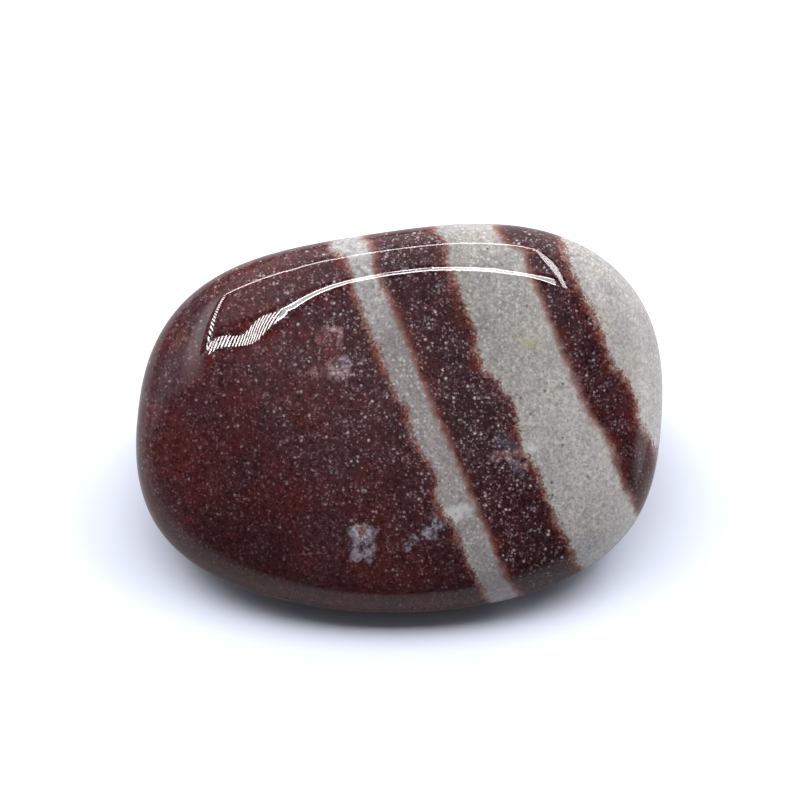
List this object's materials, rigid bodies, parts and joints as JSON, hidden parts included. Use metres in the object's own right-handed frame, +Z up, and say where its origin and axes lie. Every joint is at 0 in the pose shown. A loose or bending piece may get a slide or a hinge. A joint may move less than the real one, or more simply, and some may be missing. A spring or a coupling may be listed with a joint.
{
  "type": "tumbled stone",
  "caption": "Polished, rounded wedge of a pebble in dark maroon rock crossed by slanting pale bands, lying on a small worn flat.",
  "frame": {"origin": "under the middle of the pebble's outline, on the surface it rests on", "axes": "+X along the longest side, +Y from the low front edge to the high back edge, +Z up"},
  "size_m": [0.038, 0.0256, 0.0158],
  "materials": {
    "banded_stone": "polished"
  },
  "bodies": {
    "root": {"stone": "banded_stone"}
  },
  "joints": []
}
